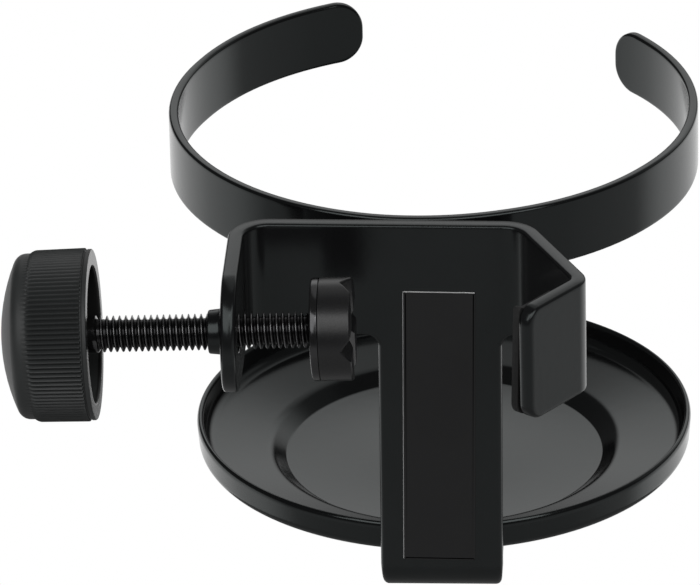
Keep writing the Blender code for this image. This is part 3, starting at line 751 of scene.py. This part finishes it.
def make_knob(mat, rim_shade_mat, inside_shade_mat):
    """Cup: shallow dome blended into the side, pointed ribs that fade at both ends, round rim, hollow
    inside with a boss round the screw's head; it sits a hair askew on the screw."""
    segs = RIB_COUNT * RIB_STEPS
    a = np.linspace(0, 2 * math.pi, segs, endpoint=False)
    reach = KNOB_DOME_R - KNOB_BLEND_R
    meet = math.asin((KNOB_R - KNOB_BLEND_R) / reach)
    dome = meet * np.linspace(0, 1, 9)[:-1]
    centre = KNOB_APEX_X + KNOB_DOME_R - reach * math.cos(meet)
    edge = np.linspace(meet, math.pi / 2, 12)
    outer = np.concatenate((
        np.stack((KNOB_APEX_X + KNOB_DOME_R * (1 - np.cos(dome)), KNOB_DOME_R * np.sin(dome)), -1),
        np.stack((centre - KNOB_BLEND_R * np.cos(edge), KNOB_R + KNOB_BLEND_R * (np.sin(edge) - 1)), -1)))
    rib_lo, rib_hi = KNOB_RIM_X - RIB_START, KNOB_RIM_X - RIB_STOP
    side = np.concatenate((np.linspace(rib_lo, rib_lo + 1.2, 9), np.linspace(rib_lo + 2, rib_hi - 0.6, 4),
                           np.linspace(rib_hi - 0.3, rib_hi, 6)))
    side = side[side > outer[-1, 0] + 0.05]
    root = KNOB_R + (side - centre) * math.tan(KNOB_DRAFT)
    brim = root[-1] + KNOB_BRIM
    rim = rounded((
        (rib_hi + 0.1, root[-1], 0), (rib_hi + 0.16, root[-1], 0.1), (rib_hi + 0.3, brim, 0.1),
        (KNOB_RIM_X, brim, 0.2), (KNOB_RIM_X, KNOB_INNER_R, 0.3),
        (KNOB_FLOOR_X, KNOB_INNER_R, KNOB_FLOOR_FILLET), (KNOB_FLOOR_X, BOSS_R, BOSS_EDGE),
        (BOSS_X, BOSS_R, BOSS_EDGE), (BOSS_X, BOSS_BORE_R, 0.25), (POCKET_X, BOSS_BORE_R, 0)), segs=5)
    x = np.concatenate((outer[:, 0], side, rim[:, 0], (POCKET_X, POCKET_FLOOR_X, POCKET_FLOOR_X)))
    r = np.concatenate((outer[:, 1], root, rim[:, 1], (0, 0, 0)))[:, None] + 0 * a
    r[-3:-1] = hexagon(a, HEAD_FLATS) + HEAD_CLEAR
    crest = 1 - np.abs(2 * np.mod(a * RIB_COUNT / (2 * math.pi), 1) - 1)
    crest = np.clip(crest * RIB_STEEP - RIB_FOOT, 0.0, RIB_FLAT)
    fade = np.clip((x - rib_lo) / RIB_FADE_IN, 0, 1) * np.clip((rib_hi - x) / RIB_FADE_OUT, 0, 1)
    outside = r[:, 0] > KNOB_INNER_R + 1
    fade = (fade * (2 - fade) * outside)[:, None]
    r = r + (RIB_H * crest - RIB_SINK) * fade
    points = turned(x, r, segs)
    slip = np.stack((-points[..., 2], 0 * points[..., 1], points[..., 0] - KNOB_MID_X), -1)
    points = on_screw(points + KNOB_ASKEW * slip - np.array((0, 0, KNOB_DROP)))
    obj = add_piece("ribbed_knob", points, grid_faces(len(x), segs), "thumbscrew", "knob",
                    mat, 50)
    x, y, z = (face_values(obj, "center") / MM + POLE - SCREW_POINT).T
    inside = np.hypot(y, z - x * math.tan(SCREW_LEAN)) < KNOB_INNER_R + 0.05
    # Every face inside the cup takes the darker finish: painted shade in the hollow
    deep = inside & (x > KNOB_FLOOR_X - 0.5)
    # The rim's open face takes a darker finish: painted shade
    shaded_rim = face_values(obj, "normal")[:, 0] > KNOB_RIM_SHADE_FACING
    paint(obj, [rim_shade_mat, inside_shade_mat], np.where(deep, 2, shaded_rim))
    return obj


def make_washer(mat):
    """Flat washer with broken edges, turned."""
    face = WASHER_X + WASHER_T
    inner = WASHER_BORE_R
    profile = rounded((
        (WASHER_X, inner + 1, 0), (WASHER_X, PAD_R, WASHER_EDGE), (face, PAD_R, PAD_EDGE),
        (face, inner, BORE_EDGE), (WASHER_X, inner, BORE_EDGE), (WASHER_X, inner + 1, 0)), segs=6)
    points = on_screw(turned(profile[:, 0], profile[:, 1], 96))
    return add_piece("turned_washer", points, grid_faces(len(profile), 96), "pad_carriage", "thrust_washer",
                     mat)


def make_saddle(mat):
    """Round pad: its face drops by the deeper of two crossing V-grooves, with the button's socket
    behind."""
    segs = SADDLE_SEGS
    a = np.linspace(0, 2 * math.pi, segs, endpoint=False)
    base = SADDLE_X + SADDLE_BAND
    socket = SOCKET_X + SOCKET_DEPTH
    back = rounded((
        (socket, 0, 0), (socket, SOCKET_R, 0), (SOCKET_X, SOCKET_R, 0), (SOCKET_X, SOCKET_MOUTH_R, 0.1),
        (SADDLE_X, SOCKET_MOUTH_R, 0.2), (SADDLE_X, PAD_R, PAD_EDGE), (base, PAD_R, 0)), segs=4)
    turn = np.linspace(0, math.pi / 2, 8)[1:]
    radius = np.concatenate((np.full(26, PAD_R), PAD_R - SADDLE_EDGE * (1 - np.cos(turn)),
                             np.linspace(PAD_R - SADDLE_EDGE - 0.1, 0, 60)))
    climb = np.concatenate((np.linspace(0, 1, 27)[1:], np.ones(67)))
    drop = np.concatenate((np.full(26, SADDLE_EDGE), SADDLE_EDGE * (1 - np.sin(turn)), np.zeros(60)))
    y, z = radius[:, None] * np.cos(a), radius[:, None] * np.sin(a)
    upright = UPRIGHT_GROOVE_D * np.clip(1 - np.abs(y) / UPRIGHT_GROOVE_HALF, 0, 1)
    cross = CROSS_GROOVE_D * np.clip(1 - np.abs(z) / CROSS_GROOVE_HALF, 0, 1)
    face = SADDLE_FACE_X - drop[:, None] - np.maximum(upright, cross)
    x = base + climb[:, None] * (face - base)
    along = np.concatenate((np.repeat(back[:, :1], segs, 1), x))
    around = np.concatenate((np.repeat(back[:, 1:], segs, 1), np.repeat(radius[:, None], segs, 1)))
    points = turned(along[:, 0], around, segs)
    points[..., 0] = along
    return add_piece("grooved_pad", on_screw(points), grid_faces(len(along), segs), "saddle", "pad_saddle",
                     mat, 35)


def make_materials():
    """Every finish, each with what it gives the eye."""
    return {
        # Polyester powder coat, satin black: fine orange peel that softens reflections
        "powder": coated("satin_black_powder_coat", ("131314", "161617"), (0.18, 0.23),
                         1.1, 0.006, 0.16, 0.0015, IOR=1.43, Specular_Tint=COOL),
        # Stoved enamel over the drawn dish: smoother, so it mirrors the studio softly
        "enamel": coated("semigloss_black_enamel", ("0e0e0f", "101011"), (0.13, 0.17),
                         2.2, 0.006, 0.2, 0.0008, IOR=1.5, Specular_Tint=COOL),
        # The same enamel on the rolled strip, thinner: a shade less mirror than the dish
        "strip": coated("thin_black_enamel", ("0e0e0f", "101011"), (0.13, 0.17),
                        2.2, 0.006, 0.2, 0.0008, IOR=1.46, Specular_Tint=COOL),
        # Moulded ABS from a spark-eroded tool: matte, slightly grey where it turns away
        "abs": coated("matte_black_moulded_abs", ("2f3131", "333535"), (0.46, 0.56),
                      0.9, 0.006, 0.12, 0.008, IOR=1.46),
        # The same ABS on the rim's open face: smoother, so the rim catches the backdrop, and darker as
        # painted shade
        "abs_rim_painted_shade": coated("smooth_black_abs_painted_rim_shade", ("1e2020", "222424"), (0.24, 0.3),
                          0.9, 0.004, 0.12, 0.002, IOR=1.5),
        # The same ABS inside the cup: a little smoother, and darker as painted shade in the hollow
        "abs_inside_shade": coated("black_abs_painted_inside_shade", ("141414", "171717"), (0.3, 0.38),
                           0.9, 0.004, 0.12, 0.002, IOR=1.42),
        # Acetal pad: satin with a faint waxy gloss
        "acetal": coated("satin_black_acetal", ("1a1a1b", "1e1e1f"), (0.26, 0.34),
                         1.4, 0.006, 0.14, 0.003, IOR=1.48),
        # Black-oxide steel: dark metal that still glints where it turns
        "oxide": coated("black_oxide_steel", ("464647", "505051"), (0.13, 0.19),
                        0.7, 0.003, 0.1, 0.002, Metallic=0.9),
        # The same oxide, paler on the thread's crests: a painted highlight along them
        "oxide_crest_highlight": coated("black_oxide_painted_crest_highlight", ("7a7a7b", "888889"), (0.2, 0.28),
                              0.7, 0.003, 0.1, 0.002, Metallic=0.9),
        # The same oxide, darker in the thread's roots: painted shade in the grooves
        "oxide_root_shade": coated("black_oxide_painted_root_shade", ("262627", "2c2c2d"), (0.2, 0.28),
                             0.7, 0.003, 0.1, 0.002, Metallic=0.9),
        # Cast vinyl film: matte black, with a soft tooth
        "vinyl": coated("matte_black_vinyl", ("161617", "19191a"), (0.3, 0.36),
                        1.5, 0.003, 0.12, 0.002, IOR=1.46),
        # The film's slanted top and left edges: a pale painted highlight, seen as a hairline
        "vinyl_edge_highlight": coated("vinyl_painted_edge_highlight", ("b0b0b0", "bebebe"), (0.4, 0.5),
                             1.5, 0.002, 0.12, 0.002, IOR=1.46),
        # Cut rubber sheet: dull, with a coarse open grain along its cut edge
        "rubber": coated("matte_black_rubber_sheet", ("121212", "2c2c2c"), (0.7, 0.85),
                         0.8, 0.06, 0.22, 0.03, IOR=1.45),
    }


def make_studio():
    """White for the camera; in reflections a bright wall behind, dimmer side walls, a panel above the
    wall and a dim front. A pale floor lies far below and two softboxes stand in front."""
    scene = bpy.context.scene
    scene.view_settings.view_transform = "Standard"
    world = bpy.data.worlds.new("studio")
    scene.world = world
    world.use_nodes = True
    tree = world.node_tree
    tree.nodes.clear()
    way = add_node(tree, "ShaderNodeTexCoord").outputs["Generated"]
    parts = add_node(tree, "ShaderNodeSeparateXYZ", links={"Vector": way}).outputs
    ahead = add_node(tree, "ShaderNodeMath", {1: 0.05}, {0: parts["Y"]}, operation="MAXIMUM").outputs[0]
    slant = add_node(tree, "ShaderNodeMath", links={0: parts["X"], 1: ahead}, operation="DIVIDE").outputs[0]
    path = add_node(tree, "ShaderNodeLightPath").outputs
    rays = {0: path["Is Glossy Ray"], 1: path["Is Transmission Ray"]}
    mirrored = add_node(tree, "ShaderNodeMath", links=rays, operation="MAXIMUM").outputs[0]
    glow = {"shown": path["Is Camera Ray"]}
    for name, source, start, stop, low, high in (
            ("back", parts["Y"], -0.05, 0.45, 0.0, 1.0),
            ("left", parts["X"], -0.3, -0.85, 0.0, 0.95),
            ("left_near", parts["Y"], -0.5, 0.1, 0.0, 1.0),
            ("right", parts["X"], 0.35, 0.9, 0.0, 0.42),
            ("low", parts["Z"], 0.06, -0.12, 0.0, 1.0),
            ("panel_left", slant, -0.6, -0.25, 0.0, 1.0),
            ("panel_right", slant, 0.3, 1.4, 1.0, 0.3),
            ("panel_top", parts["Z"], 0.48, 0.62, 1.0, 0.45),
            ("panel_foot", parts["Z"], 0.08, 0.38, 0.16, 1.0),
            ("panel_near", parts["Y"], 0.05, 0.3, 0.0, 1.0),
            ("front", parts["Z"], -0.05, -0.35, 0.075, 0.38),
            ("share", mirrored, 0.0, 1.0, 0.8, 1.0)):
        levels = {"From Min": start, "From Max": stop, "To Min": low, "To Max": high}
        ramp = add_node(tree, "ShaderNodeMapRange", levels, {"Value": source},
                        interpolation_type="SMOOTHSTEP")
        glow[name] = ramp.outputs[0]
    for name, operation, first, second in (
            ("left_wall", "MULTIPLY", "left", "left_near"),
            ("sides", "MAXIMUM", "left_wall", "right"),
            ("around", "MAXIMUM", "back", "sides"),
            ("walls", "MULTIPLY", "around", "low"),
            ("panel_sides", "MULTIPLY", "panel_left", "panel_right"),
            ("panel_ends", "MULTIPLY", "panel_top", "panel_near"),
            ("panel_face", "MULTIPLY", "panel_sides", "panel_foot"),
            ("panel", "MULTIPLY", "panel_face", "panel_ends"),
            ("bright", "MAXIMUM", "walls", "panel"),
            ("room", "MAXIMUM", "bright", "front"),
            ("spread", "MULTIPLY", "room", "share"),
            ("all", "MAXIMUM", "spread", "shown")):
        pair = {0: glow[first], 1: glow[second]}
        glow[name] = add_node(tree, "ShaderNodeMath", links=pair, operation=operation).outputs[0]
    light = add_node(tree, "ShaderNodeBackground", {"Color": (1, 1, 1, 1)}, {"Strength": glow["all"]})
    add_node(tree, "ShaderNodeOutputWorld", links={"Surface": light.outputs[0]})

    floor_mat = bpy.data.materials.new("pale_floor_paper")
    floor_mat.use_nodes = True
    tree = floor_mat.node_tree
    tree.nodes.clear()
    paper = add_node(tree, "ShaderNodeBsdfDiffuse", {"Color": linear("c8c8c8")})
    lit = add_node(tree, "ShaderNodeEmission", {"Color": (1, 1, 1, 1)},
                   {"Strength": add_node(tree, "ShaderNodeLightPath").outputs["Is Camera Ray"]})
    both = add_node(tree, "ShaderNodeAddShader", links={0: paper.outputs[0], 1: lit.outputs[0]})
    add_node(tree, "ShaderNodeOutputMaterial", links={"Surface": both.outputs[0]})
    a = np.linspace(0, 2 * math.pi, FLOOR_SEGS, endpoint=False)
    mesh = bpy.data.meshes.new("floor")
    disc = np.stack((FLOOR_R * np.cos(a), FLOOR_R * np.sin(a), 0 * a + FLOOR_Z), -1)
    mesh.from_pydata(disc.tolist(), [], [list(range(FLOOR_SEGS))])
    mesh.materials.append(floor_mat)
    floor = bpy.data.objects.new("floor", mesh)
    scene.collection.objects.link(floor)

    def softbox(name, place, aim, size, power):
        """Area lamp whose axis runs from its place to its aim, its long side level."""
        lamp = bpy.data.lights.new(name, "AREA")
        lamp.shape = "RECTANGLE"
        lamp.size, lamp.size_y = size
        lamp.energy = power
        obj = bpy.data.objects.new(name, lamp)
        scene.collection.objects.link(obj)
        place, aim = np.array(place), np.array(aim)
        z = (place - aim) / np.linalg.norm(place - aim)
        x = np.cross((0, 0, 1), z)
        x /= np.linalg.norm(x)
        matrix = np.eye(4)
        matrix[:3, :3] = np.stack((x, np.cross(z, x), z), -1)
        matrix[:3, 3] = place
        obj.matrix_world = matrix.T.tolist()

    for name, side in (("left_softbox", -1), ("right_softbox", 1)):
        softbox(name, (side * SOFTBOX_X, SOFTBOX_Y, SOFTBOX_Z), (0, 0, 0), SOFTBOX_SIZE, SOFTBOX_POWER)


def main():
    """Camera, finishes, the nine pieces, and the studio."""
    aim_camera()
    mats = make_materials()
    make_bracket(mats["powder"])
    make_ring(mats["strip"])
    make_tray(mats["enamel"])
    make_label(mats["vinyl"], mats["vinyl_edge_highlight"])
    make_liner(mats["rubber"])
    make_screw(mats["oxide"], mats["oxide_crest_highlight"], mats["oxide_root_shade"])
    make_knob(mats["abs"], mats["abs_rim_painted_shade"], mats["abs_inside_shade"])
    make_washer(mats["oxide"])
    make_saddle(mats["acetal"])
    make_studio()


main()
